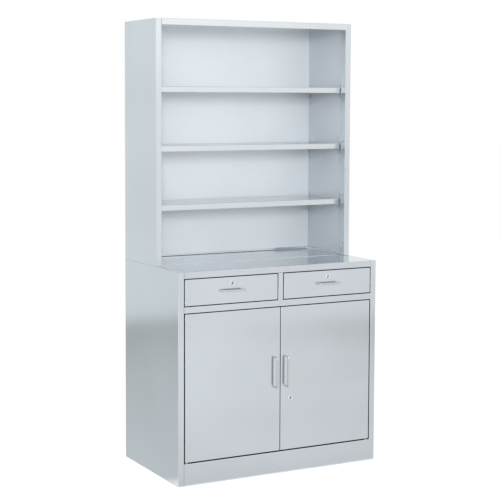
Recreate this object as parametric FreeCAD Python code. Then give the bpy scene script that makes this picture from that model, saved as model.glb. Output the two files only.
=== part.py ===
import FreeCAD, Part
import math
import os

# Operating room cabinet in folded stainless sheet, millimetres, front towards -Y.
# The origin is on the floor, at the middle of the whole outline seen from above.

# Overall sizes
width = 900.0
depth = 500.0
height = 1800.0
base_height = 830.0
upper_depth = 300.0

# Sheet thicknesses, bend radius inside, and flanges that join the sheets
sheet = 1.2
skin = 1.0
bend = 1.0
flange = 20.0
rear_flange = 25.0

# Clearances
overrun = 5.0
seam_gap = 1.0
near_gap = 0.3
seam_radius = 1.0
fit_gap = 0.05

# Front frame of the lower unit
stile = 25.0
stile_return = 30.0
centre_stile = 22.0
top_rail = 26.0
top_return = 20.0
top_lip = 10.0
middle_rail = 25.0
middle_return = 40.0
middle_lip = 12.0
plinth_height = 88.0

# Front frame of the upper unit
upper_stile = 26.0
upper_return = 35.0
upper_rail = 26.0
liner_step = 5.0
upstand = 11.0
cove = 3.0

# Drawers: front panels, trays and slides
drawer_gap = 3.0
drawer_height = 102.0
front_depth = 18.0
front_lip = 10.0
tray_lift = 4.0
tray_height = 70.0
tray_length = 430.0
tray_rim = 8.0
riser_drop = 2.0
press_corner = 2.0
slide_height = 45.0
slide_thickness = 13.0
slide_length = 400.0
slide_middle_length = 380.0
slide_sheet = 1.2
slide_gap = 0.4
slide_start = 24.0
slide_lift = 9.5
slide_cover = 9.6
bracket_height = 60.0

# Doors: skins, liners, pivots
door_gap = 3.0
door_foot_gap = 4.5
hinge_gap = 4.0
meeting_gap = 2.5
door_thickness = 22.0
door_lip = 14.0
pivot_in = 9.0
pivot_back = 7.0
pin_radius = 3.0
pin_reach = 10.0
pin_head_radius = 5.0
pin_head = 2.5
pin_collar_radius = 5.5
pin_collar = 2.7
bush_radius = 5.0
bush_length = 14.0
bush_flange_radius = 6.5
bush_flange = 1.5

# Bow handles and their screws
handle_wire = 8.0
handle_standoff = 20.0
handle_bend = 10.0
drawer_handle_spacing = 100.0
door_handle_spacing = 120.0
door_handle_in = 24.0
door_handle_height = 411.0
screw_radius = 2.0
screw_play = 0.2
screw_reach = 10.0
screw_head_radius = 4.0
screw_head = 2.5

# Cam locks
lock_cap_radius = 10.0
lock_face_radius = 8.4
lock_cap = 2.5
lock_cap_edge = 0.6
lock_mouth = 0.6
lock_radius = 8.0
lock_play = 0.1
lock_bore = 6.05
lock_sink = 0.8
lock_nut_flats = 19.0
lock_nut = 3.0
lock_overhang = 0.5
key_width = 2.2
key_height = 8.0
key_depth = 8.0
cam_radius = 7.0
cam_thickness = 2.0
cam_hole = 3.05
cam_rivet_radius = 4.5
cam_rivet = 1.2
drawer_cam_reach = 36.0
door_cam_reach = 62.0
drawer_lock_drop = 24.0
door_lock_in = 45.0
door_lock_height = 301.0

# Bolt inside the left door
bolt_in = 30.0
bolt_radius = 3.0
bolt_length = 82.0
bolt_below = 4.0
bolt_travel = 12.0
bolt_case_width = 16.0
bolt_case_depth = 12.0
bolt_case_height = 60.0
bolt_case_drop = 21.0
bolt_hole = 4.8
knob_radius = 2.5
knob_reach = 12.0
knob_play = 0.2

# Magnetic catches and their strike plates
catch_in = 66.0
catch_length = 45.0
catch_height = 14.0
catch_depth = 14.0
catch_groove = 4.0
strike_height = 12.0
strike = 1.5

# Shelves, uprights and clips
shelf_lip = 22.0
shelf_return = 12.0
shelf_side_gap = 4.0
upper_shelf_in = 38.0
lower_shelf_in = 60.0
shelf_rear_gap = 6.0
upright_width = 25.0
upright_sheet = 1.5
slot_width = 4.0
slot_height = 12.0
slot_pitch = 39.0
first_slot = 13.0
upper_shelf_slots = (5, 11, 17)
lower_shelf_slots = (7,)
slot_choices = (-1, 0, 1)
clip_width = 16.0
clip_sheet = 1.5
clip_height = 22.0
clip_ledge = 22.0
clip_rise = 8.0
hook_height = 7.0
hook_drop = 4.0
hook_side_gap = 0.3

# Screws that join the upper unit to the lower
joint_in = 12.0
joint_front_in = 95.0
joint_rear_in = 75.0
joint_radius = 3.0
joint_play = 0.2
joint_flats = 10.0
joint_head = 4.0
joint_nut = 5.0
joint_end = 3.0

# Places that follow from the sizes
handle_reach = handle_standoff + handle_wire / 2
y_front = (handle_reach - depth) / 2
y_rear = y_front + depth
y_back = y_rear - 2 * sheet
y_upper = y_rear - upper_depth
x_skin = width / 2 - sheet
x_stile = width / 2 - stile
x_upper_stile = width / 2 - upper_stile
x_liner = x_upper_stile + liner_step
fold = bend + sheet
under_worktop = base_height - sheet
under_top = height - sheet
drawer_top = base_height - top_rail - drawer_gap
drawer_bottom = drawer_top - drawer_height
deck_top = drawer_bottom - drawer_gap
middle_bottom = deck_top - middle_rail
door_top = middle_bottom - door_gap
door_bottom = plinth_height + door_foot_gap
drawer_opening = x_stile - centre_stile / 2
drawer_width = drawer_opening - 2 * drawer_gap
drawer_x = (x_stile + centre_stile / 2) / 2
drawer_handle_z = (drawer_top + drawer_bottom) / 2
drawer_lock_z = drawer_top - drawer_lock_drop
tray_width = drawer_opening - 2 * slide_thickness
tray_bottom = drawer_bottom + tray_lift
tray_front = y_front + front_depth
slide_low = tray_bottom + slide_lift
door_edge = x_stile - hinge_gap
pivot_x = door_edge - pivot_in
pivot_y = y_front + pivot_back
liner_front = y_front + door_thickness - skin
liner_rear = y_front + door_thickness
door_handle_x = meeting_gap / 2 + door_handle_in
door_lock_x = meeting_gap / 2 + door_lock_in
bolt_x = meeting_gap / 2 + bolt_in
bolt_y = liner_rear + bolt_case_depth / 2
catch_x = meeting_gap / 2 + catch_in
upper_shelf_y = (y_upper + upper_shelf_in, y_back - shelf_rear_gap)
lower_shelf_y = (y_front + lower_shelf_in, y_back - shelf_rear_gap)
shelf_rise = first_slot + clip_rise


# Basic solids

def block(x, y, z):
    """Box between two limits along each axis."""
    corner = FreeCAD.Vector(x[0], y[0], z[0])
    return Part.makeBox(x[1] - x[0], y[1] - y[0], z[1] - z[0], corner)


def rod(axis, centre, radius, start, end):
    """Round bar along an axis, centre given by its two other coordinates."""
    first, second = centre
    places = {"x": (start, first, second), "y": (first, start, second), "z": (first, second, start)}
    headings = {"x": (1, 0, 0), "y": (0, 1, 0), "z": (0, 0, 1)}
    base = FreeCAD.Vector(*places[axis])
    return Part.makeCylinder(radius, end - start, base, FreeCAD.Vector(*headings[axis]))


def hexagon(axis, centre, flats, start, end):
    """Hexagonal bar along Y or Z, by its width across flats."""
    points = []
    for index in range(6):
        angle = math.radians(60 * index)
        across = flats / math.sqrt(3) * math.cos(angle)
        along = flats / math.sqrt(3) * math.sin(angle)
        if axis == "y":
            points.append(FreeCAD.Vector(centre[0] + across, start, centre[1] + along))
        else:
            points.append(FreeCAD.Vector(centre[0] + across, centre[1] + along, start))
    outline = Part.makePolygon(points + points[:1])
    lift = (0, end - start, 0) if axis == "y" else (0, 0, end - start)
    return Part.Face(outline).extrude(FreeCAD.Vector(*lift))


def joined(first, *others):
    """One solid from shapes that overlap or share faces."""
    return first.fuse(list(others)).removeSplitter()


def mirrored(shape):
    """The same shape on the other side of the cabinet."""
    return shape.mirror(FreeCAD.Vector(0, 0, 0), FreeCAD.Vector(1, 0, 0))


def both_sides(shape):
    return [shape, mirrored(shape)]


# Folded sheet

def heading(start, end):
    across = end[0] - start[0]
    along = end[1] - start[1]
    length = math.hypot(across, along)
    return across / length, along / length


def folded_outline(path, thickness):
    """Corners, with radii, of a sheet that lies to the left of a path of folds."""
    headings = [heading(start, end) for start, end in zip(path, path[1:])]
    near = []
    far = []
    for index, point in enumerate(path):
        before = headings[max(index - 1, 0)]
        after = headings[min(index, len(headings) - 1)]
        turn = before[0] * after[1] - before[1] * after[0]
        spread = 1 + before[0] * after[0] + before[1] * after[1]
        across = -(before[1] + after[1]) / spread * thickness
        along = (before[0] + after[0]) / spread * thickness
        outer = bend + thickness if turn else 0
        inner = bend if turn else 0
        near.append((point, outer if turn > 0 else inner))
        far.append(((point[0] + across, point[1] + along), inner if turn > 0 else outer))
    return near + far[::-1]


def rounded_face(corners, place):
    """Face inside straight lines with rounded corners; place makes points from pairs."""
    entries = []
    for index, (point, radius) in enumerate(corners):
        if not radius:
            entries.append((point, point, point))
            continue
        back = heading(point, corners[index - 1][0])
        on = heading(point, corners[(index + 1) % len(corners)][0])
        half = math.acos(back[0] * on[0] + back[1] * on[1]) / 2
        cut = radius / math.tan(half)
        middle = heading((0, 0), (back[0] + on[0], back[1] + on[1]))
        sink = radius / math.sin(half) - radius
        start = (point[0] + back[0] * cut, point[1] + back[1] * cut)
        inside = (point[0] + middle[0] * sink, point[1] + middle[1] * sink)
        end = (point[0] + on[0] * cut, point[1] + on[1] * cut)
        entries.append((start, inside, end))
    edges = []
    for index, (start, inside, end) in enumerate(entries):
        if start != end:
            edges.append(Part.Arc(place(start), place(inside), place(end)).toShape())
        following = entries[(index + 1) % len(entries)][0]
        edges.append(Part.makeLine(place(end), place(following)))
    return Part.Face(Part.Wire(edges))


def folded(path, axis, start, end, thickness=sheet):
    """Sheet folded along a path and extruded along an axis from start to end."""
    places = {
        "x": lambda pair: FreeCAD.Vector(start, pair[0], pair[1]),
        "y": lambda pair: FreeCAD.Vector(pair[0], start, pair[1]),
        "z": lambda pair: FreeCAD.Vector(pair[0], pair[1], start),
    }
    lifts = {"x": (end - start, 0, 0), "y": (0, end - start, 0), "z": (0, 0, end - start)}
    face = rounded_face(folded_outline(path, thickness), places[axis])
    return face.extrude(FreeCAD.Vector(*lifts[axis]))


# Pressed pans

def eased_block(limits, axis, closed, radius):
    """Box with the edges of one face rounded."""
    body = block(*limits)
    level = limits[axis][closed]
    edges = [edge for edge in body.Edges if all(math.isclose(v.Point[axis], level) for v in edge.Vertexes)]
    return body.makeFillet(radius, edges)


def pan(limits, axis, closed, thickness, lip=0.0):
    """Pan closed at one end of an axis, edges folded along it, lips turned in at the open end."""
    opened = 1 - closed
    outward = 1 if opened else -1
    inside = [[low + thickness, high - thickness] for low, high in limits]
    mouth = [[low + thickness + lip, high - thickness - lip] for low, high in limits]
    beyond = limits[axis][opened] + outward * overrun
    mouth[axis] = sorted([limits[axis][opened] - outward * 2 * thickness, beyond])
    if not lip:
        inside[axis][opened] = beyond
    body = eased_block(limits, axis, closed, press_corner)
    body = body.cut(eased_block(inside, axis, closed, press_corner - thickness / 2))
    return body.cut(block(*mouth)) if lip else body


# Fixed sheets of both units

def eased_seam(body, x, z):
    """The body with its long edge at x and z rounded, where it meets another sheet."""
    ends = [(edge, [v.Point for v in edge.Vertexes]) for edge in body.Edges]
    rims = [edge for edge, points in ends if all(math.hypot(p[0] - x, p[2] - z) < near_gap for p in points)]
    return body.makeFillet(seam_radius, rims)


def side_panel(front, bottom, top, face, face_return):
    """Left side: skin folded into the front stile, its return and the rear flange."""
    edge = -width / 2
    path = [
        (edge + rear_flange, y_rear),
        (edge, y_rear),
        (edge, front),
        (edge + face, front),
        (edge + face, front + face_return),
    ]
    shell = folded(path, "z", bottom, top)
    seam = (front + face_return + seam_gap, y_back)
    head = block((edge, edge + flange), seam, (top - sheet, top))
    foot = block((edge, edge + flange), seam, (bottom, bottom + sheet))
    return eased_seam(joined(shell, head, foot), edge, bottom)


def back_panel(bottom, top):
    """Back: sheet inside the rear flanges, its top edge folded forward."""
    side = x_skin - bend
    panel = block((-side, side), (y_back, y_rear - sheet), (bottom, top))
    half = width / 2 - flange - seam_gap
    head = block((-half, half), (y_back - flange, y_back), (top - sheet, top))
    return joined(panel, head)


def cover(front, top, face, rail, rail_return, rail_lip):
    """Flat top whose front folds down as the rail between two stiles."""
    half = width / 2
    plate = block((-half, half), (front + fold, y_rear), (top - sheet, top))
    tab = block((-half, face - half), (front, front + 2 * fold), (top - sheet, top))
    path = [
        (front + rail_return, top),
        (front, top),
        (front, top - rail),
        (front + rail_return, top - rail),
        (front + rail_return, top - rail + rail_lip),
    ]
    rail_strip = folded(path, "x", face - half, half - face)
    whole = joined(plate, tab, mirrored(tab), rail_strip)
    return eased_seam(eased_seam(whole, -half, top), half, top)


def joint_places():
    return [(joint_in - width / 2, y_upper + joint_front_in), (joint_in - width / 2, y_rear - joint_rear_in)]


def joint_holes(bottom, top):
    """Clearance holes on both sides for the screws that join the units."""
    radius = joint_radius + joint_play
    holes = [rod("z", place, radius, bottom - overrun, top + overrun) for place in joint_places()]
    return holes + [mirrored(hole) for hole in holes]


def lower_side():
    panel = side_panel(y_front, 0, under_worktop, stile, stile_return)
    return panel.cut(joint_holes(under_worktop - sheet, under_worktop))


def upper_side():
    panel = side_panel(y_upper, base_height, under_top, upper_stile, upper_return)
    return panel.cut(joint_holes(base_height, base_height + sheet))


def worktop():
    top = cover(y_front, base_height, stile, top_rail, top_return, top_lip)
    return top.cut(joint_holes(under_worktop, base_height))


def upper_top():
    return cover(y_upper, height, upper_stile, upper_rail, top_return, top_lip)


def upper_floor():
    """Sheet on the worktop inside the upper unit, coved up at the back and the sides."""
    front = y_upper + upper_return + seam_gap
    span = (front - 2 * cove, y_back)
    outside = [(-x_liner, x_liner), span, (base_height, base_height + upstand)]
    body = eased_block(outside, 2, 0, cove + skin)
    x = (skin - x_liner, x_liner - skin)
    y = (span[0] + skin, span[1] - skin)
    inside = eased_block([x, y, (base_height + skin, base_height + upstand + overrun)], 2, 0, cove)
    z = (base_height - overrun, base_height + 2 * upstand)
    beyond = block((-width, width), (span[0] - overrun, front), z)
    return body.cut([inside, beyond])


def drawer_deck():
    """Plate under the drawers, folded down at the front as the middle rail."""
    plate = block((-x_skin, x_skin), (y_front + stile_return, y_back), (deck_top - sheet, deck_top))
    side = block((-x_skin, sheet - x_skin), (y_front + stile_return, y_back), (deck_top - flange, deck_top))
    path = [
        (y_front + middle_return, deck_top),
        (y_front, deck_top),
        (y_front, middle_bottom),
        (y_front + middle_return, middle_bottom),
        (y_front + middle_return, middle_bottom + middle_lip),
    ]
    rail = folded(path, "x", -x_stile, x_stile)
    deck = joined(plate, side, mirrored(side), rail)
    span = (middle_bottom - sheet, middle_bottom + 2 * sheet)
    pin_hole = rod("z", (-pivot_x, pivot_y), pin_radius + fit_gap, *span)
    bolt_seat = rod("z", (-bolt_x, bolt_y), bolt_hole, *span)
    return deck.cut([pin_hole, mirrored(pin_hole), bolt_seat])


def centre_partition():
    """Channel between the drawers, whose closed end is the centre stile."""
    half = centre_stile / 2
    path = [(-half, y_back), (-half, y_front), (half, y_front), (half, y_back)]
    channel = folded(path, "z", deck_top, under_worktop)
    x = (-centre_stile, centre_stile)
    front_y = (y_front - overrun, y_front + top_return + seam_gap)
    front_notch = block(x, front_y, (base_height - top_rail, base_height))
    rear_y = (y_back - flange - seam_gap, y_back + overrun)
    rear_notch = block(x, rear_y, (under_worktop - sheet - seam_gap, base_height))
    return channel.cut([front_notch, rear_notch])


def floor_panel():
    limits = [
        [-x_skin, x_skin],
        [y_front + stile_return, y_back],
        [plinth_height - flange, plinth_height],
    ]
    return pan(limits, 2, 1, sheet)


def plinth():
    """Front of the base: a channel on the floor between the stiles."""
    path = [
        (y_front + stile_return, plinth_height),
        (y_front, plinth_height),
        (y_front, 0),
        (y_front + stile_return, 0),
    ]
    channel = folded(path, "x", -x_stile, x_stile)
    span = (plinth_height - flange, plinth_height + overrun)
    pin_hole = rod("z", (-pivot_x, pivot_y), pin_radius + fit_gap, *span)
    return channel.cut([pin_hole, mirrored(pin_hole)])


def runner_brackets():
    """Channels from the side skins to the line of the stiles, behind the outer slides."""
    low = slide_low + (slide_height - bracket_height) / 2
    high = low + bracket_height
    path = [(-x_skin, low), (-x_stile, low), (-x_stile, high), (-x_skin, high)]
    return both_sides(folded(path, "y", y_front + stile_return, y_back))


def hinge_pins():
    """Headed pins in the middle rail and the plinth, the lower ones with a collar."""
    centre = (-pivot_x, pivot_y)
    seat = middle_bottom + sheet
    upper = joined(
        rod("z", centre, pin_radius, door_top - pin_reach, seat),
        rod("z", centre, pin_head_radius, seat, seat + pin_head),
    )
    under = plinth_height - sheet
    lower = joined(
        rod("z", centre, pin_radius, under, door_bottom + pin_reach),
        rod("z", centre, pin_head_radius, under - pin_head, under),
        rod("z", centre, pin_collar_radius, plinth_height, plinth_height + pin_collar),
    )
    return both_sides(upper) + both_sides(lower)


def door_catches():
    """Magnetic catches under the middle rail, grooved between their two poles."""
    front = liner_rear + strike + near_gap
    x = (-catch_x - catch_length, -catch_x)
    z = (middle_bottom - catch_height, middle_bottom)
    case = block(x, (front, front + catch_depth), z)
    middle = (z[0] + z[1]) / 2
    groove_z = (middle - catch_groove / 2, middle + catch_groove / 2)
    groove = block((x[0] - overrun, x[1] + overrun), (front - overrun, front + catch_groove / 2), groove_z)
    return both_sides(case.cut(groove))


def joining_screws():
    """Hexagon screws and nuts through the seam flanges and the worktop."""
    seat = base_height + sheet
    under = under_worktop - sheet
    pieces = []
    for place in joint_places():
        head = hexagon("z", place, joint_flats, seat, seat + joint_head)
        shank = rod("z", place, joint_radius, under - joint_nut - joint_end, seat)
        nut = hexagon("z", place, joint_flats, under - joint_nut, under)
        bore = rod("z", place, joint_radius + fit_gap, under - joint_nut - overrun, under + overrun)
        pieces += both_sides(joined(head, shank))
        pieces += both_sides(nut.cut(bore))
    return pieces


# Shelves and what carries them

def shelf(y, bottom, line):
    """Shelf pressed with its edges turned down and lips turned in."""
    half = line - shelf_side_gap
    return pan([[-half, half], list(y), [bottom, bottom + shelf_lip]], 2, 1, skin, shelf_return)


def slot_levels(bottom, shelf_slots):
    """Middles of the slots in use, and of those above and below them."""
    indexes = sorted({index + choice for index in shelf_slots for choice in slot_choices})
    return [bottom + first_slot + index * slot_pitch for index in indexes]


def upright(line, y, z, columns, levels):
    """Left channel from the side skin to a line inside it, with slots in columns."""
    path = [(-x_skin, y[0]), (-line, y[0]), (-line, y[1]), (-x_skin, y[1])]
    channel = folded(path, "z", z[0], z[1], upright_sheet)
    slots = []
    for middle in columns:
        slot_y = (middle - slot_width / 2, middle + slot_width / 2)
        for level in levels:
            slot_z = (level - slot_height / 2, level + slot_height / 2)
            slots.append(block((-line - 2 * upright_sheet, overrun - line), slot_y, slot_z))
    return channel.cut(slots)


def upper_columns():
    half = upright_width / 2
    return [y_upper + upper_return + seam_gap + half, y_back - half]


def lower_columns():
    half = upright_width / 2
    return [y_front + lower_shelf_in + half, y_back - half]


def upper_uprights():
    """One channel on each side, as deep as the unit, whose web is the inner wall."""
    y = (y_upper + upper_return + seam_gap, y_back)
    z = (base_height + sheet, under_top - sheet)
    return both_sides(upright(x_liner, y, z, upper_columns(), slot_levels(base_height, upper_shelf_slots)))


def lower_uprights():
    z = (plinth_height, deck_top - flange)
    levels = slot_levels(plinth_height, lower_shelf_slots)
    pieces = []
    for middle in lower_columns():
        y = (middle - upright_width / 2, middle + upright_width / 2)
        pieces += both_sides(upright(x_stile, y, z, [middle], levels))
    return pieces


def clip(line, middle, seat):
    """Left clip: plate on the upright, ledge under the shelf, hook through a slot."""
    span = (middle - clip_width / 2, middle + clip_width / 2)
    path = [(clip_ledge - line, seat), (-line, seat), (-line, seat - clip_height)]
    bracket = folded(path, "y", span[0], span[1], clip_sheet)
    slot_foot = seat - clip_rise - slot_height / 2
    tongue_y = (middle - slot_width / 2 + hook_side_gap, middle + slot_width / 2 - hook_side_gap)
    tongue_z = (slot_foot, slot_foot + hook_height)
    behind = -line - upright_sheet - near_gap
    tongue = block((behind - clip_sheet, clip_sheet / 2 - line), tongue_y, tongue_z)
    hook = block((behind - clip_sheet, behind), tongue_y, (slot_foot - hook_drop, tongue_z[1]))
    return joined(bracket, tongue, hook)


def upper_shelf_bottoms():
    return [base_height + shelf_rise + index * slot_pitch for index in upper_shelf_slots]


def lower_shelf_bottoms():
    return [plinth_height + shelf_rise + index * slot_pitch for index in lower_shelf_slots]


def shelf_clips():
    pieces = []
    for seat in upper_shelf_bottoms():
        for middle in upper_columns():
            pieces += both_sides(clip(x_liner, middle, seat))
    for seat in lower_shelf_bottoms():
        for middle in lower_columns():
            pieces += both_sides(clip(x_stile, middle, seat))
    return pieces


# Handles, locks and the bolt

def bow_handle(x, z, spacing, upright_bar):
    """Round bar bent into a bow, on the front plane, bored for its two screws."""
    half = spacing / 2
    out = y_front - handle_standoff
    bent = out + handle_bend
    slack = handle_bend * (1 - math.cos(math.radians(45)))

    def place(along, y):
        if upright_bar:
            return FreeCAD.Vector(x, y, z + along)
        return FreeCAD.Vector(x + along, y, z)

    first = Part.Arc(place(-half, bent), place(slack - half, out + slack), place(handle_bend - half, out))
    second = Part.Arc(place(half - handle_bend, out), place(half - slack, out + slack), place(half, bent))
    path = Part.Wire([
        Part.makeLine(place(-half, y_front), place(-half, bent)),
        first.toShape(),
        Part.makeLine(place(handle_bend - half, out), place(half - handle_bend, out)),
        second.toShape(),
        Part.makeLine(place(half, bent), place(half, y_front)),
    ])
    section = Part.Wire(Part.makeCircle(handle_wire / 2, place(-half, y_front), FreeCAD.Vector(0, 1, 0)))
    bar = path.makePipeShell([section], True, False)
    for along in (-half, half):
        foot = place(along, y_front)
        start = y_front - screw_reach - seam_gap
        bar = bar.cut(rod("y", (foot.x, foot.z), screw_radius + fit_gap, start, y_front + overrun))
    return bar


def handle_screws(x, z, spacing, upright_bar, seat):
    """Two screws from behind into the feet of a handle, heads on the plane at seat."""
    pieces = []
    for along in (-spacing / 2, spacing / 2):
        centre = (x, z + along) if upright_bar else (x + along, z)
        shank = rod("y", centre, screw_radius, y_front - screw_reach, seat)
        pieces.append(joined(shank, rod("y", centre, screw_head_radius, seat, seat + screw_head)))
    return pieces


def handle_holes(x, z, spacing, upright_bar, end):
    radius = screw_radius + screw_play
    start = y_front - overrun
    if upright_bar:
        return [rod("y", (x, z + along), radius, start, end) for along in (-spacing / 2, spacing / 2)]
    return [rod("y", (x + along, z), radius, start, end) for along in (-spacing / 2, spacing / 2)]


def lock_body(x, z, wall):
    """Threaded sleeve with a sloping cap in front, and the nut that holds it behind a wall."""
    base = FreeCAD.Vector(x, y_front, z)
    cap = Part.makeCone(lock_cap_radius, lock_face_radius, lock_cap, base, FreeCAD.Vector(0, -1, 0))
    rim = [edge for edge in cap.Edges if edge.BoundBox.YMax < y_front - lock_cap / 2]
    cap = cap.makeFillet(lock_cap_edge, rim)
    outer = FreeCAD.Vector(x, y_front - lock_cap, z)
    mouth = Part.makeCone(lock_bore + lock_mouth, lock_bore, lock_mouth, outer, FreeCAD.Vector(0, 1, 0))
    cap = cap.cut(mouth)
    end = wall + lock_nut + lock_overhang
    bore = rod("y", (x, z), lock_bore, y_front - lock_cap - overrun, end + overrun)
    sleeve = joined(cap, rod("y", (x, z), lock_radius, y_front, end)).cut(bore)
    nut = hexagon("y", (x, z), lock_nut_flats, wall, wall + lock_nut)
    nut = nut.cut(rod("y", (x, z), lock_radius + fit_gap, wall - overrun, end + overrun))
    return [sleeve, nut]


def lock_plug(x, z, wall):
    """Turning core with a keyway, and a riveted tail that holds the cam."""
    face = y_front - lock_cap + lock_sink
    shoulder = wall + lock_nut + lock_overhang + near_gap
    tail = shoulder + cam_thickness
    plug = joined(
        rod("y", (x, z), lock_bore - fit_gap, face, shoulder),
        rod("y", (x, z), cam_hole - fit_gap, shoulder, tail),
        rod("y", (x, z), cam_rivet_radius, tail, tail + cam_rivet),
    )
    key_x = (x - key_width / 2, x + key_width / 2)
    key_z = (z - key_height / 2, z + key_height / 2)
    return plug.cut(block(key_x, (face - overrun, face + key_depth), key_z))


def lock_cam(x, z, wall, reach, across):
    """Flat cam with round ends, pointing to -X where across is true, and down otherwise."""
    start = wall + lock_nut + lock_overhang + near_gap
    y = (start, start + cam_thickness)
    span = reach - cam_radius
    if across:
        bar = block((x - span, x), y, (z - cam_radius, z + cam_radius))
        end = (x - span, z)
    else:
        bar = block((x - cam_radius, x + cam_radius), y, (z - span, z))
        end = (x, z - span)
    plate = joined(bar, rod("y", (x, z), cam_radius, *y), rod("y", end, cam_radius, *y))
    return plate.cut(rod("y", (x, z), cam_hole, start - overrun, start + overrun))


def bolt_middle():
    return door_top - bolt_case_drop - bolt_case_height / 2


def bolt_case():
    """Guide on the left door's liner, bored for the bolt and slotted for its knob."""
    x = (-bolt_x - bolt_case_width / 2, bolt_case_width / 2 - bolt_x)
    z = (bolt_middle() - bolt_case_height / 2, bolt_middle() + bolt_case_height / 2)
    case = block(x, (liner_rear, liner_rear + bolt_case_depth), z)
    bore = rod("z", (-bolt_x, bolt_y), bolt_radius + fit_gap, z[0] - overrun, z[1] + overrun)
    half = knob_radius + knob_play
    slot_z = (bolt_middle() - bolt_travel / 2 - half, bolt_middle() + bolt_travel / 2 + half)
    slot = block((-bolt_x - half, half - bolt_x), (bolt_y, bolt_y + bolt_case_depth), slot_z)
    return case.cut([bore, slot])


def bolt():
    """Round bolt with a knob, drawn down, its end just under the middle rail."""
    end = door_top - bolt_below + door_gap
    bar = rod("z", (-bolt_x, bolt_y), bolt_radius, end - bolt_length, end)
    knob = rod("y", (-bolt_x, bolt_middle() - bolt_travel / 2), knob_radius, bolt_y, bolt_y + knob_reach)
    return joined(bar, knob)


# Drawers

def slide_member(x_wall, inward, length, reach, member):
    """Outer, middle or inner member of a drawer slide; inward is the way to the drawer."""
    inset = {"outer": 0, "middle": 1, "inner": 2}[member] * (slide_sheet + slide_gap)
    low = slide_low + inset
    high = slide_low + slide_height - inset
    if member == "inner":
        path = [(reach, low), (slide_thickness, low), (slide_thickness, high), (reach, high)]
    else:
        path = [(reach, high), (inset, high), (inset, low), (reach, low)]
    start = y_front + slide_start + (slide_length - length) / 2
    profile = folded(path, "y", start, start + length, slide_sheet)
    if inward < 0:
        profile = mirrored(profile)
    return profile.translated(FreeCAD.Vector(x_wall, 0, 0))


def slide_members(x, member):
    """The pair of like members on the two sides of a drawer at x."""
    half = drawer_opening / 2
    length = slide_middle_length if member == "middle" else slide_length
    reaches = {
        "outer": slide_cover,
        "middle": slide_cover + slide_sheet,
        "inner": 2 * (slide_sheet + slide_gap) + slide_gap,
    }
    sides = ((x - half, 1), (x + half, -1))
    return [slide_member(wall, inward, length, reaches[member], member) for wall, inward in sides]


def drawer_holes(x, end):
    holes = handle_holes(x, drawer_handle_z, drawer_handle_spacing, False, end)
    holes.append(rod("y", (x, drawer_lock_z), lock_radius + lock_play, y_front - overrun, end))
    return holes


def drawer_front(x):
    half = drawer_width / 2
    limits = [[x - half, x + half], [y_front, tray_front], [drawer_bottom, drawer_top]]
    return pan(limits, 1, 0, skin, front_lip).cut(drawer_holes(x, tray_front - skin))


def drawer_tray(x):
    """Tray with rims turned out over the slides and a riser behind the front panel."""
    half = tray_width / 2
    top = tray_bottom + tray_height
    y = (tray_front, tray_front + tray_length)
    body = pan([[x - half, x + half], list(y), [tray_bottom, top]], 2, 0, skin)
    riser = block((x - half, x + half), (y[0], y[0] + skin), (top - 2 * skin, drawer_top - riser_drop))
    rims = [
        block((x - half - tray_rim, x - half + skin), y, (top - skin, top)),
        block((x + half - skin, x + half + tray_rim), y, (top - skin, top)),
    ]
    return joined(body, riser, *rims).cut(drawer_holes(x, y[0] + overrun))


# Doors

def door_limits(y):
    return [[-door_edge, -meeting_gap / 2], list(y), [door_bottom, door_top]]


def door_skin():
    """Left door's outer pan, with holes for the handle and the hinge bushes."""
    skin_pan = pan(door_limits((y_front, liner_front)), 1, 0, skin, door_lip)
    holes = handle_holes(-door_handle_x, door_handle_height, door_handle_spacing, True, y_front + overrun)
    for z in (door_bottom, door_top):
        holes.append(rod("z", (-pivot_x, pivot_y), bush_radius + fit_gap, z - 2 * skin, z + 2 * skin))
    return skin_pan.cut(holes)


def door_liner():
    x, y, z = door_limits((liner_front, liner_rear))
    return block((x[0] + skin, x[1] - skin), y, (z[0] + skin, z[1] - skin))


def lock_hole():
    radius = lock_radius + lock_play
    return rod("y", (door_lock_x, door_lock_height), radius, y_front - overrun, liner_rear + overrun)


def door_bushes():
    """Flanged bushes in the top and bottom edges of the left door."""
    centre = (-pivot_x, pivot_y)
    pieces = []
    for edge, outward in ((door_top, 1), (door_bottom, -1)):
        sleeve = rod("z", centre, bush_radius, *sorted((edge, edge - outward * bush_length)))
        rim = rod("z", centre, bush_flange_radius, *sorted((edge, edge + outward * bush_flange)))
        reach = bush_length + overrun
        bore = rod("z", centre, pin_radius + fit_gap, edge - reach, edge + reach)
        pieces.append(joined(sleeve, rim).cut(bore))
    return pieces


def door_strike():
    """Plate on the left door's liner that meets the magnetic catch."""
    x = (-catch_x - catch_length, -catch_x)
    top = door_top - skin
    return block(x, (liner_rear, liner_rear + strike), (top - strike_height, top))


# All sub-parts

def lower_nodes():
    side = lower_side()
    return {
        "lower_left_side": side,
        "lower_right_side": mirrored(side),
        "lower_back": back_panel(0, under_worktop),
        "worktop": worktop(),
        "drawer_deck": drawer_deck(),
        "centre_partition": centre_partition(),
        "floor_panel": floor_panel(),
        "plinth": plinth(),
        "runner_brackets": runner_brackets(),
        "lower_shelf": [shelf(lower_shelf_y, bottom, x_stile) for bottom in lower_shelf_bottoms()],
        "lower_uprights": lower_uprights(),
        "hinge_pins": hinge_pins(),
        "door_catches": door_catches(),
        "joining_screws": joining_screws(),
    }


def upper_nodes():
    side = upper_side()
    return {
        "upper_left_side": side,
        "upper_right_side": mirrored(side),
        "upper_back": back_panel(base_height, under_top),
        "upper_top": upper_top(),
        "upper_floor": upper_floor(),
        "upper_shelves": [shelf(upper_shelf_y, bottom, x_upper_stile) for bottom in upper_shelf_bottoms()],
        "upper_uprights": upper_uprights(),
        "shelf_clips": shelf_clips(),
    }


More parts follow.
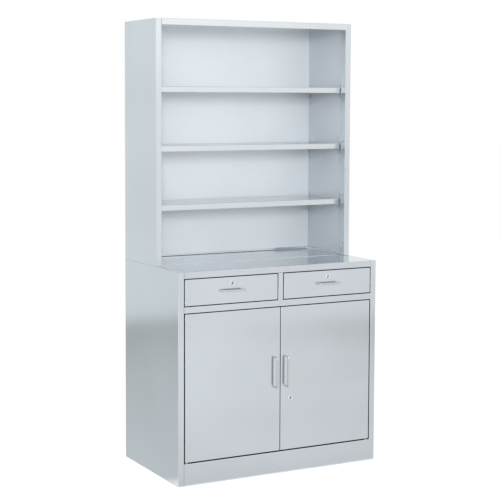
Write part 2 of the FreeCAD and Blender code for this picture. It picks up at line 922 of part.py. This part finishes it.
def drawer_nodes(side, x):
    name = "drawer_" + side + "_"
    wall = tray_front + skin
    return {
        name + "front": drawer_front(x),
        name + "tray": drawer_tray(x),
        name + "handle": bow_handle(x, drawer_handle_z, drawer_handle_spacing, False),
        name + "handle_screws": handle_screws(x, drawer_handle_z, drawer_handle_spacing, False, wall),
        name + "lock_body": lock_body(x, drawer_lock_z, wall),
        name + "lock_plug": lock_plug(x, drawer_lock_z, wall),
        name + "lock_cam": lock_cam(x, drawer_lock_z, wall, drawer_cam_reach, True),
        name + "slide_outers": slide_members(x, "outer"),
        name + "slide_middles": slide_members(x, "middle"),
        name + "slide_inners": slide_members(x, "inner"),
    }


def door_nodes():
    handle = bow_handle(-door_handle_x, door_handle_height, door_handle_spacing, True)
    screws = handle_screws(-door_handle_x, door_handle_height, door_handle_spacing, True, y_front + skin)
    left = {
        "skin": door_skin(),
        "liner": door_liner(),
        "handle": handle,
        "handle_screws": screws,
        "bushes": door_bushes(),
        "strike": door_strike(),
    }
    nodes = {}
    for name, shape in left.items():
        solids = shape if isinstance(shape, list) else [shape]
        nodes["door_left_" + name] = solids
        nodes["door_right_" + name] = [mirrored(solid) for solid in solids]
    for name in ("skin", "liner"):
        nodes["door_right_" + name] = [nodes["door_right_" + name][0].cut(lock_hole())]
    nodes["door_lock_body"] = lock_body(door_lock_x, door_lock_height, liner_rear)
    nodes["door_lock_plug"] = lock_plug(door_lock_x, door_lock_height, liner_rear)
    nodes["door_lock_cam"] = lock_cam(door_lock_x, door_lock_height, liner_rear, door_cam_reach, False)
    nodes["door_bolt_case"] = bolt_case()
    nodes["door_bolt"] = bolt()
    return nodes


def write_parts(nodes):
    os.makedirs("parts", exist_ok=True)
    for name, shape in nodes.items():
        whole = Part.makeCompound(shape) if isinstance(shape, list) else shape
        whole.exportStep("parts/" + name + ".step")


write_parts(lower_nodes())
write_parts(upper_nodes())
write_parts(drawer_nodes("left", -drawer_x))
write_parts(drawer_nodes("right", drawer_x))
write_parts(door_nodes())
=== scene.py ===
import math

import bpy
from mathutils import Matrix, Vector

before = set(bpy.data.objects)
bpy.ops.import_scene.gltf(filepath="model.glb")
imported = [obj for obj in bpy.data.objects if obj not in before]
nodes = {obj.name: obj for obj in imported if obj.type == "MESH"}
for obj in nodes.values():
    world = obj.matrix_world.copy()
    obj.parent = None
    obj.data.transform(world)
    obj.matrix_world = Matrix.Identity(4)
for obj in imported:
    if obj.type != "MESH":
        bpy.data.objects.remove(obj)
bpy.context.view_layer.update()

# Camera, solved from the photograph's corners, in metres, radians and pixels
CAMERA_PLACE = (-2.6178, -4.6859, 1.4764)
CAMERA_YAW = 0.4700
CAMERA_PITCH = 0.0746
CAMERA_ROLL = 0.0014
SENSOR_WIDTH = 36.0
IMAGE_SIZE = 500
IMAGE_MIDDLE = 0.5
FOCAL_PIXELS = 1315.96
PRINCIPAL_POINT = (200, 200)

# Plain sheet of most outer parts, in 0..255 steps of the display
SHEET = (203, 209, 214)

# Brushed grain: noise that is fine across a sheet and long along it
GRAIN_ACROSS = 900.0
GRAIN_ALONG = 6.0
GRAIN_DETAIL = 3.0
GRAIN_ROUGHNESS = 0.7
GRAIN_STRENGTH = 0.4
GRAIN_DEPTH = 0.00001
GLOSS_SPREAD = 0.03

# The grain's direction leans a little, so that it never points straight out of a face
GRAIN_LEAN = (0.04, 0.03, 0.05)
QUARTER_TURN = 0.25

# Faint clouds in the sheet, and the speckle of small parts
CLOUD_SCALE = 2.5
CLOUD_DETAIL = 2.0
CLOUD_DEPTH = 0.03
SPECKLE_SCALE = 300.0
SPECKLE_DETAIL = 3.0
SPECKLE_GLOSS = 0.15

# Values between which most of Blender's noise lies
NOISE_LOW = 0.3
NOISE_HIGH = 0.7

# Stage: diffuse light of the world, floor, and what mirrors and the camera see of it
WHITE = (1.0, 1.0, 1.0, 1.0)
WORLD_LEVEL = 0.75
FLOOR_HALF = 40.0
FLOOR_COLOUR = (0.9, 0.9, 0.9, 1.0)
FLOOR_ROUGHNESS = 0.9
FLOOR_GLOW = 0.32

# Strength at the top of a card's ramp, which no card goes above
RAMP_TOP = 2.0

# The cabinet's left side mirrors a slightly cool studio
COOL = (0.96, 1.0, 1.005)


def place_camera():
    data = bpy.data.cameras.new("camera")
    data.sensor_width = SENSOR_WIDTH
    data.lens = FOCAL_PIXELS * SENSOR_WIDTH / IMAGE_SIZE
    data.shift_x = IMAGE_MIDDLE - PRINCIPAL_POINT[0] / IMAGE_SIZE
    data.shift_y = PRINCIPAL_POINT[1] / IMAGE_SIZE - IMAGE_MIDDLE
    camera = bpy.data.objects.new("camera", data)
    place = Matrix.Translation(CAMERA_PLACE)
    yaw = Matrix.Rotation(-CAMERA_YAW, 4, "Z")
    pitch = Matrix.Rotation(math.pi / 2 - CAMERA_PITCH, 4, "X")
    roll = Matrix.Rotation(CAMERA_ROLL, 4, "Z")
    camera.matrix_world = place @ yaw @ pitch @ roll
    bpy.context.scene.collection.objects.link(camera)
    bpy.context.scene.camera = camera


# Materials

def new_material(name):
    material = bpy.data.materials.new(name)
    material.use_nodes = True
    return material, material.node_tree


def new_shader(name):
    material, tree = new_material(name)
    return material, tree, tree.nodes["Principled BSDF"]


def add(tree, kind, **settings):
    node = tree.nodes.new(kind)
    for name, value in settings.items():
        setattr(node, name, value)
    return node


def combine(tree, operation, first, second):
    """Result of one maths operation on two linked values."""
    node = add(tree, "ShaderNodeMath", operation=operation)
    tree.links.new(first, node.inputs[0])
    tree.links.new(second, node.inputs[1])
    return node.outputs[0]


def noise(tree, scale, detail, roughness=0.5):
    """Noise in the cabinet's own coordinates, stretched by a scale for each axis."""
    place = add(tree, "ShaderNodeTexCoord")
    stretch = add(tree, "ShaderNodeMapping")
    stretch.inputs["Scale"].default_value = scale
    texture = add(tree, "ShaderNodeTexNoise")
    texture.inputs["Scale"].default_value = 1.0
    texture.inputs["Detail"].default_value = detail
    texture.inputs["Roughness"].default_value = roughness
    tree.links.new(place.outputs["Object"], stretch.inputs["Vector"])
    tree.links.new(stretch.outputs["Vector"], texture.inputs["Vector"])
    return texture.outputs["Fac"]


def remap(tree, value, low, high, start=NOISE_LOW, end=NOISE_HIGH):
    """Value carried from start..end over to low..high."""
    node = add(tree, "ShaderNodeMapRange")
    node.inputs["From Min"].default_value = start
    node.inputs["From Max"].default_value = end
    node.inputs["To Min"].default_value = low
    node.inputs["To Max"].default_value = high
    tree.links.new(value, node.inputs["Value"])
    return node.outputs["Result"]


def linear(colour):
    """Linear colour from one written in 0..255 steps of the display."""
    return [((step / 255 + 0.055) / 1.055) ** 2.4 for step in colour]


def mottled(tree, texture, colour, depth):
    """Colour that a noise makes darker and lighter by a part of itself."""
    darker = [part * (1 - depth) for part in linear(colour)]
    lighter = [min(part * (1 + depth), 1.0) for part in linear(colour)]
    node = add(tree, "ShaderNodeMix", data_type="RGBA")
    tree.links.new(remap(tree, texture, 0.0, 1.0), node.inputs["Factor"])
    node.inputs["A"].default_value = (*darker, 1.0)
    node.inputs["B"].default_value = (*lighter, 1.0)
    return node.outputs["Result"]


def steel(name, colour, grain, roughness, stretch=0.0, depth=1.0, metallic=1.0):
    """Brushed sheet: grain along one axis, gloss drawn out across it, and faint clouds."""
    material, tree, shader = new_shader(name)
    axis = "XYZ".index(grain)
    scale = [GRAIN_ACROSS] * 3
    scale[axis] = GRAIN_ALONG
    streaks = noise(tree, scale, GRAIN_DETAIL, GRAIN_ROUGHNESS)
    clouds = noise(tree, [CLOUD_SCALE] * 3, CLOUD_DETAIL)
    tree.links.new(mottled(tree, clouds, colour, CLOUD_DEPTH), shader.inputs["Base Color"])
    spread = GLOSS_SPREAD * depth
    gloss = remap(tree, streaks, roughness - spread, roughness + spread)
    tree.links.new(gloss, shader.inputs["Roughness"])
    bump = add(tree, "ShaderNodeBump")
    bump.inputs["Strength"].default_value = GRAIN_STRENGTH
    bump.inputs["Distance"].default_value = GRAIN_DEPTH * depth
    tree.links.new(streaks, bump.inputs["Height"])
    tree.links.new(bump.outputs["Normal"], shader.inputs["Normal"])
    shader.inputs["Metallic"].default_value = metallic
    if stretch:
        direction = list(GRAIN_LEAN)
        direction[axis] = 1.0
        along = add(tree, "ShaderNodeCombineXYZ")
        for socket, part in zip(along.inputs, direction):
            socket.default_value = part
        tree.links.new(along.outputs["Vector"], shader.inputs["Tangent"])
        shader.inputs["Anisotropic"].default_value = stretch
        shader.inputs["Anisotropic Rotation"].default_value = QUARTER_TURN
    return material


def plain(name, colour, roughness, metallic=0.0, speckle=0.02):
    """Small part: one colour with a fine speckle in it."""
    material, tree, shader = new_shader(name)
    grains = noise(tree, [SPECKLE_SCALE] * 3, SPECKLE_DETAIL)
    tree.links.new(mottled(tree, grains, colour, speckle), shader.inputs["Base Color"])
    spread = roughness * SPECKLE_GLOSS
    gloss = remap(tree, grains, roughness - spread, roughness + spread)
    tree.links.new(gloss, shader.inputs["Roughness"])
    shader.inputs["Metallic"].default_value = metallic
    return material


def dress(material, *names):
    for name in names:
        for slot in nodes[name].material_slots:
            slot.material = material


def dress_cabinet():
    sides = steel("steel_upright_grain", SHEET, "Z", 0.15, stretch=0.5)
    walls = steel("steel_inner_walls", (201, 206, 212), "Z", 0.3, depth=0.15, metallic=0.4)
    levels = steel("steel_level_grain", SHEET, "X", 0.18, depth=0.12)
    worktop = steel("steel_worktop", (200, 206, 211), "X", 0.14, depth=0.1)
    shelves = steel("steel_shelves", (208, 213, 217), "X", 0.2, depth=0.12)
    # The back panels' colour is painted lighter than the rest of the sheet: painted light,
    # standing in for the light that falls into the bays.
    backs_painted_light = steel("steel_back_painted_light", (229, 235, 239), "Z", 0.5, depth=0.1, metallic=0.36)
    dress(sides, "lower_left_side", "lower_right_side", "upper_left_side", "upper_right_side")
    dress(sides, "centre_partition")
    dress(walls, "upper_uprights", "lower_uprights")
    dress(levels, "drawer_deck", "plinth", "floor_panel", "runner_brackets")
    dress(worktop, "worktop", "upper_floor")
    dress(shelves, "upper_top", "lower_shelf", "upper_shelves")
    dress(backs_painted_light, "lower_back", "upper_back")


def dress_fronts():
    drawer_fronts = steel("steel_drawer_fronts", SHEET, "X", 0.14, stretch=0.4)
    doors = steel("steel_doors", SHEET, "Z", 0.14, stretch=0.4)
    insides = steel("steel_inner", (206, 211, 215), "Y", 0.3)
    zinc = plain("zinc", (188, 192, 196), 0.35, metallic=0.9, speckle=0.05)
    locks = plain("polished_chrome", (229, 232, 235), 0.12, metallic=1.0, speckle=0.01)
    handles = plain("handle_chrome", (198, 200, 203), 0.08, metallic=1.0, speckle=0.01)
    # The lock plugs are coloured darker than the chrome around them: painted shade, standing in
    # for the shade and dark reflections in the lock's face.
    plugs_painted_shade = plain("lock_plug", (176, 180, 185), 0.2, metallic=1.0)
    screws = plain("plain_screws", (190, 192, 194), 0.3, metallic=0.95, speckle=0.04)
    catches = plain("catch_case", (214, 214, 211), 0.45)
    bushes = plain("bushes", (34, 34, 36), 0.5)
    for side in ("left", "right"):
        drawer = "drawer_" + side + "_"
        door = "door_" + side + "_"
        dress(drawer_fronts, drawer + "front")
        dress(doors, door + "skin")
        dress(insides, drawer + "tray", door + "liner")
        dress(zinc, drawer + "slide_outers", drawer + "slide_middles", drawer + "slide_inners")
        dress(locks, drawer + "lock_body")
        dress(handles, drawer + "handle", door + "handle")
        dress(plugs_painted_shade, drawer + "lock_plug")
        dress(screws, drawer + "handle_screws", door + "handle_screws")
        dress(screws, drawer + "lock_cam", door + "strike")
        dress(bushes, door + "bushes")
    dress(zinc, "shelf_clips", "hinge_pins", "joining_screws", "door_bolt_case", "door_lock_cam")
    dress(locks, "door_lock_body", "door_bolt")
    dress(plugs_painted_shade, "door_lock_plug")
    dress(catches, "door_catches")


# Stage and light

def sees_background(tree):
    """One where a camera, glossy or transmission ray looks, else none."""
    path = add(tree, "ShaderNodeLightPath")
    seen = path.outputs["Is Camera Ray"]
    for name in ("Is Glossy Ray", "Is Transmission Ray"):
        seen = combine(tree, "MAXIMUM", seen, path.outputs[name])
    return seen


def light_world():
    world = bpy.data.worlds.new("world")
    world.use_nodes = True
    tree = world.node_tree
    background = tree.nodes["Background"]
    bpy.context.scene.world = world
    strength = add(tree, "ShaderNodeMix")
    strength.inputs["A"].default_value = WORLD_LEVEL
    strength.inputs["B"].default_value = 1.0
    tree.links.new(sees_background(tree), strength.inputs["Factor"])
    tree.links.new(strength.outputs["Result"], background.inputs["Strength"])
    background.inputs["Color"].default_value = WHITE


def new_sheet(name, corners):
    """Flat object with four corners, linked to the scene."""
    mesh = bpy.data.meshes.new(name)
    mesh.from_pydata(corners, [], [(0, 1, 2, 3)])
    sheet = bpy.data.objects.new(name, mesh)
    bpy.context.scene.collection.objects.link(sheet)
    return sheet


def lay_floor():
    half = FLOOR_HALF
    corners = [(-half, -half, 0), (half, -half, 0), (half, half, 0), (-half, half, 0)]
    floor = new_sheet("floor", corners)
    material, tree, shader = new_shader("floor")
    shader.inputs["Base Color"].default_value = FLOOR_COLOUR
    shader.inputs["Roughness"].default_value = FLOOR_ROUGHNESS
    shader.inputs["Specular IOR Level"].default_value = 0.0
    shader.inputs["Emission Color"].default_value = WHITE
    glow = add(tree, "ShaderNodeMath", operation="MULTIPLY")
    glow.inputs[1].default_value = FLOOR_GLOW
    tree.links.new(sees_background(tree), glow.inputs[0])
    tree.links.new(glow.outputs[0], shader.inputs["Emission Strength"])
    floor.data.materials.append(material)


def lamp(name, place, target, size, power, mirrored=True):
    data = bpy.data.lights.new(name, "AREA")
    data.shape = "RECTANGLE"
    data.size, data.size_y = size
    data.energy = power
    light = bpy.data.objects.new(name, data)
    light.location = place
    light.visible_glossy = mirrored
    aim = Vector(target) - Vector(place)
    light.rotation_euler = aim.to_track_quat("-Z", "Y").to_euler()
    bpy.context.scene.collection.objects.link(light)


def fade_in(tree, value, limits, fades):
    """One between two limits, falling to none at them over the given lengths."""
    low, high = limits
    rising = remap(tree, value, 0.0, 1.0, low, low + fades[0])
    falling = remap(tree, value, 1.0, 0.0, high - fades[1], high)
    return combine(tree, "MULTIPLY", rising, falling)


def brightness_along(tree, value, stops, tint):
    """Brightness read off a row of places and strengths, in straight lines between them."""
    start, end = stops[0][0], stops[-1][0]
    ramp = add(tree, "ShaderNodeValToRGB")
    elements = ramp.color_ramp.elements
    while len(elements) < len(stops):
        elements.new(0.5)
    for element, (place, level) in zip(elements, stops):
        element.position = (place - start) / (end - start)
        element.color = (*[level / RAMP_TOP * part for part in tint], 1.0)
    tree.links.new(remap(tree, value, 0.0, 1.0, start, end), ramp.inputs["Fac"])
    return ramp.outputs["Color"]


def card(name, place, across, along, fades, stops, upright=False, tint=(1.0, 1.0, 1.0)):
    """Studio card that only reflections see, lying at a height or upright at a place along Y.

    It spans across in X and along in Y or Z. The stops give its strength along, and the fades
    how far from its first and last edge across, then along, it is partly clear.
    """
    left, right = across
    first, last = along
    rim = [(left, first), (right, first), (right, last), (left, last)]
    corners = [(x, place, other) if upright else (x, other, place) for x, other in rim]
    sheet = new_sheet(name, corners)
    sheet.visible_camera = False
    sheet.visible_diffuse = False
    sheet.visible_shadow = False
    sheet.visible_transmission = False
    material, tree = new_material(name)
    where = add(tree, "ShaderNodeTexCoord")
    parts = add(tree, "ShaderNodeSeparateXYZ")
    tree.links.new(where.outputs["Object"], parts.inputs[0])
    second = parts.outputs["Z" if upright else "Y"]
    glow = add(tree, "ShaderNodeEmission")
    glow.inputs["Strength"].default_value = RAMP_TOP
    tree.links.new(brightness_along(tree, second, stops, tint), glow.inputs["Color"])
    clear = add(tree, "ShaderNodeBsdfTransparent")
    fade_across = fade_in(tree, parts.outputs["X"], across, fades[:2])
    fade_along = fade_in(tree, second, along, fades[2:])
    mix = add(tree, "ShaderNodeMixShader")
    tree.links.new(combine(tree, "MULTIPLY", fade_across, fade_along), mix.inputs["Fac"])
    tree.links.new(clear.outputs["BSDF"], mix.inputs[1])
    tree.links.new(glow.outputs["Emission"], mix.inputs[2])
    tree.links.new(mix.outputs["Shader"], tree.nodes["Material Output"].inputs["Surface"])
    sheet.data.materials.append(material)


def set_wall_cards():
    """Upright cards: the studio's walls, as the stiles, backs and the left side mirror them."""
    card(
        "wall_front_right", -8.0, upright=True,
        across=(0.6, 7.2), along=(0.0, 6.0), fades=(1.0, 3.4, 0.1, 1.0),
        stops=[(0.0, 1.1), (1.2, 1.13), (1.6, 1.18), (2.0, 1.3), (2.3, 1.38), (6.0, 1.38)],
    )
    card(
        "wall_front_low_right", -7.95, upright=True,
        across=(4.2, 6.2), along=(0.0, 1.2), fades=(0.9, 1.0, 0.01, 0.6),
        stops=[(0.0, 0.78), (1.2, 1.0)],
    )
    card(
        "wall_front_left", -4.4, upright=True,
        across=(-5.0, -0.9), along=(0.0, 4.0), fades=(0.8, 0.8, 0.1, 1.0),
        stops=[
            (0.0, 0.55), (0.5, 0.65), (0.9, 0.8), (1.4, 1.25), (1.8, 1.8), (2.1, 2.0),
            (4.0, 2.0),
        ],
    )
    card(
        "wall_back_left", 9.0, upright=True, tint=COOL,
        across=(-12.0, -1.0), along=(0.0, 6.0), fades=(1.0, 1.0, 0.01, 1.0),
        stops=[(0.0, 0.94), (2.2, 0.99)],
    )


def set_floor_cards():
    """Lying cards: the studio's floor, as the left side, drawers, doors and worktop mirror it."""
    card(
        "floor_back_left", 0.003, tint=COOL,
        across=(-9.0, -0.39), along=(-0.2, 9.0), fades=(1.0, 0.01, 0.1, 0.01),
        stops=[
            (0.1, 0.78), (1.6, 0.71), (2.4, 0.64), (3.0, 0.57), (3.3, 0.66), (3.5, 0.94),
            (9.0, 0.97),
        ],
    )
    card(
        "floor_front", 0.003,
        across=(-3.0, 8.0), along=(-8.0, -0.24), fades=(1.0, 1.0, 0.01, 0.01),
        stops=[
            (-8.0, 1.12), (-5.0, 1.0), (-3.6, 1.03), (-1.9, 1.06), (-0.6, 0.96), (-0.4, 0.9),
            (-0.24, 0.85),
        ],
    )
    card(
        "floor_front_near", 0.004,
        across=(0.1, 7.0), along=(-1.4, -0.24), fades=(0.8, 1.0, 0.4, 0.02),
        stops=[(-1.4, 0.88), (-0.24, 0.85)],
    )
    card(
        "floor_front_middle", 0.005,
        across=(0.5, 7.0), along=(-2.4, -0.9), fades=(1.0, 1.0, 0.6, 0.4),
        stops=[(-2.4, 0.84), (-0.9, 0.86)],
    )
    card(
        "floor_front_right", 0.006,
        across=(1.2, 7.0), along=(-3.3, -0.4), fades=(1.0, 1.0, 0.15, 0.2),
        stops=[(-3.3, 0.62), (-2.1, 0.82), (-1.2, 0.88), (-0.4, 0.82)],
    )


bpy.context.scene.view_settings.view_transform = "Standard"
place_camera()
dress_cabinet()
dress_fronts()
light_world()
lay_floor()
set_wall_cards()
set_floor_cards()
lamp("key", place=(-2.5, -4.0, 4.0), target=(0.0, 0.0, 1.0), size=(3.0, 2.0), power=60.0)
lamp(
    "bays", place=(-2.9, -6.0, 2.35), target=(0.0, 0.0, 1.3), size=(1.6, 1.0), power=234.0,
    mirrored=False,
)
